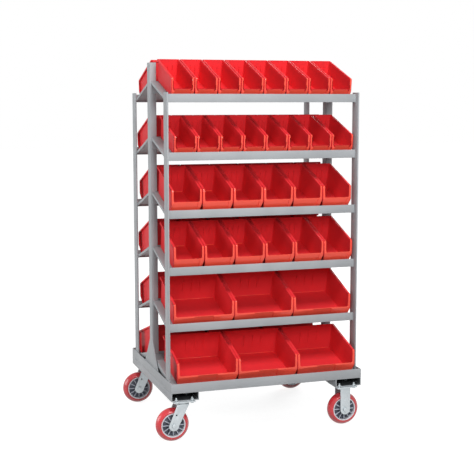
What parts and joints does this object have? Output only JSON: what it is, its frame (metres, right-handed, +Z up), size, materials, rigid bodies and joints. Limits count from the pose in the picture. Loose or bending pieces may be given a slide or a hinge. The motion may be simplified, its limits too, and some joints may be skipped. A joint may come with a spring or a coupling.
{
  "type": "mobile bin cart",
  "caption": "Double-sided steel cart with sloped shelves of open-front plastic bins on both sides, a lipped deck, and casters that swivel at one end and stay fixed at the other.",
  "frame": {"origin": "centre of the bounding box's bottom face, on the floor under the cart", "axes": "+Z up, +X along the front towards the end with the fixed casters, +Y from the front bins to the rear bins"},
  "size_m": [0.9794, 0.782, 1.6968],
  "materials": {
    "frame_enamel": "satin grey enamel",
    "bin_plastic": "moulded red plastic",
    "wheel_tread": "red polyurethane",
    "wheel_core": "dark grey moulded core",
    "zinc_steel": "bright zinc plate"
  },
  "bodies": {
    "root": {"base_tray": "frame_enamel", "bolster_left": "frame_enamel", "bolster_right": "frame_enamel", "caster_front_left_plate": "zinc_steel", "caster_front_right_axle": "zinc_steel", "caster_front_right_fork": "zinc_steel", "caster_rear_left_plate": "zinc_steel", "caster_rear_right_axle": "zinc_steel", "caster_rear_right_fork": "zinc_steel", "center_post_left": "frame_enamel", "center_post_right": "frame_enamel", "corner_post_front_left": "frame_enamel", "corner_post_front_right": "frame_enamel", "corner_post_rear_left": "frame_enamel", "corner_post_rear_right": "frame_enamel", "deck_slope_front": "frame_enamel", "deck_slope_rear": "frame_enamel", "medium_bin_row_2_front": "bin_plastic", "medium_bin_row_2_rear": "bin_plastic", "medium_bin_row_3_front": "bin_plastic", "medium_bin_row_3_rear": "bin_plastic", "shelf_1_front": "frame_enamel", "shelf_1_rear": "frame_enamel", "shelf_2_front": "frame_enamel", "shelf_2_rear": "frame_enamel", "shelf_3_front": "frame_enamel", "shelf_3_rear": "frame_enamel", "shelf_4_front": "frame_enamel", "shelf_4_rear": "frame_enamel", "shelf_5_front": "frame_enamel", "shelf_5_rear": "frame_enamel", "small_bin_row_4_front": "bin_plastic", "small_bin_row_4_rear": "bin_plastic", "small_bin_row_5_front": "bin_plastic", "small_bin_row_5_rear": "bin_plastic"},
    "fork_front_left": {"caster_front_left_fork": "zinc_steel", "caster_front_left_axle": "zinc_steel"},
    "wheel_front_left": {"caster_front_left_tread": "wheel_tread", "caster_front_left_core": "wheel_core"},
    "wheel_front_right": {"caster_front_right_tread": "wheel_tread", "caster_front_right_core": "wheel_core"},
    "fork_rear_left": {"caster_rear_left_fork": "zinc_steel", "caster_rear_left_axle": "zinc_steel"},
    "wheel_rear_left": {"caster_rear_left_tread": "wheel_tread", "caster_rear_left_core": "wheel_core"},
    "wheel_rear_right": {"caster_rear_right_tread": "wheel_tread", "caster_rear_right_core": "wheel_core"},
    "loose_large_bin_deck_front_1": {"large_bin_deck_front_1": "bin_plastic"},
    "loose_large_bin_deck_front_2": {"large_bin_deck_front_2": "bin_plastic"},
    "loose_large_bin_deck_front_3": {"large_bin_deck_front_3": "bin_plastic"},
    "loose_large_bin_deck_rear_1": {"large_bin_deck_rear_1": "bin_plastic"},
    "loose_large_bin_deck_rear_2": {"large_bin_deck_rear_2": "bin_plastic"},
    "loose_large_bin_deck_rear_3": {"large_bin_deck_rear_3": "bin_plastic"},
    "loose_large_bin_shelf_front_1": {"large_bin_shelf_front_1": "bin_plastic"},
    "loose_large_bin_shelf_front_2": {"large_bin_shelf_front_2": "bin_plastic"},
    "loose_large_bin_shelf_front_3": {"large_bin_shelf_front_3": "bin_plastic"},
    "loose_large_bin_shelf_rear_1": {"large_bin_shelf_rear_1": "bin_plastic"},
    "loose_large_bin_shelf_rear_2": {"large_bin_shelf_rear_2": "bin_plastic"},
    "loose_large_bin_shelf_rear_3": {"large_bin_shelf_rear_3": "bin_plastic"}
  },
  "joints": [
    {"name": "swivel_front_left", "type": "hinge", "parent": "root", "child": "fork_front_left", "pos_m": [-0.3695, -0.334, 0.18], "axis": [0, 0, 1], "continuous": true},
    {"name": "roll_front_left", "type": "hinge", "parent": "fork_front_left", "child": "wheel_front_left", "pos_m": [-0.4135, -0.334, 0.0762], "axis": [0, 1, 0], "continuous": true},
    {"name": "roll_front_right", "type": "hinge", "parent": "root", "child": "wheel_front_right", "pos_m": [0.4135, -0.334, 0.0762], "axis": [0, 1, 0], "continuous": true},
    {"name": "swivel_rear_left", "type": "hinge", "parent": "root", "child": "fork_rear_left", "pos_m": [-0.3695, 0.334, 0.18], "axis": [0, 0, 1], "continuous": true},
    {"name": "roll_rear_left", "type": "hinge", "parent": "fork_rear_left", "child": "wheel_rear_left", "pos_m": [-0.4135, 0.334, 0.0762], "axis": [0, 1, 0], "continuous": true},
    {"name": "roll_rear_right", "type": "hinge", "parent": "root", "child": "wheel_rear_right", "pos_m": [0.4135, 0.334, 0.0762], "axis": [0, 1, 0], "continuous": true},
    {"name": "lift_large_bin_deck_front_1", "type": "slide", "parent": "root", "child": "loose_large_bin_deck_front_1", "axis": [0, -0.7071, 0.7071], "range_m": [0, 0.1]},
    {"name": "lift_large_bin_deck_front_2", "type": "slide", "parent": "root", "child": "loose_large_bin_deck_front_2", "axis": [0, -0.7071, 0.7071], "range_m": [0, 0.1]},
    {"name": "lift_large_bin_deck_front_3", "type": "slide", "parent": "root", "child": "loose_large_bin_deck_front_3", "axis": [0, -0.7071, 0.7071], "range_m": [0, 0.1]},
    {"name": "lift_large_bin_deck_rear_1", "type": "slide", "parent": "root", "child": "loose_large_bin_deck_rear_1", "axis": [0, 0.7071, 0.7071], "range_m": [0, 0.1]},
    {"name": "lift_large_bin_deck_rear_2", "type": "slide", "parent": "root", "child": "loose_large_bin_deck_rear_2", "axis": [0, 0.7071, 0.7071], "range_m": [0, 0.1]},
    {"name": "lift_large_bin_deck_rear_3", "type": "slide", "parent": "root", "child": "loose_large_bin_deck_rear_3", "axis": [0, 0.7071, 0.7071], "range_m": [0, 0.1]},
    {"name": "lift_large_bin_shelf_front_1", "type": "slide", "parent": "root", "child": "loose_large_bin_shelf_front_1", "axis": [0, -0.7071, 0.7071], "range_m": [0, 0.1]},
    {"name": "lift_large_bin_shelf_front_2", "type": "slide", "parent": "root", "child": "loose_large_bin_shelf_front_2", "axis": [0, -0.7071, 0.7071], "range_m": [0, 0.1]},
    {"name": "lift_large_bin_shelf_front_3", "type": "slide", "parent": "root", "child": "loose_large_bin_shelf_front_3", "axis": [0, -0.7071, 0.7071], "range_m": [0, 0.1]},
    {"name": "lift_large_bin_shelf_rear_1", "type": "slide", "parent": "root", "child": "loose_large_bin_shelf_rear_1", "axis": [0, 0.7071, 0.7071], "range_m": [0, 0.1]},
    {"name": "lift_large_bin_shelf_rear_2", "type": "slide", "parent": "root", "child": "loose_large_bin_shelf_rear_2", "axis": [0, 0.7071, 0.7071], "range_m": [0, 0.1]},
    {"name": "lift_large_bin_shelf_rear_3", "type": "slide", "parent": "root", "child": "loose_large_bin_shelf_rear_3", "axis": [0, 0.7071, 0.7071], "range_m": [0, 0.1]}
  ]
}
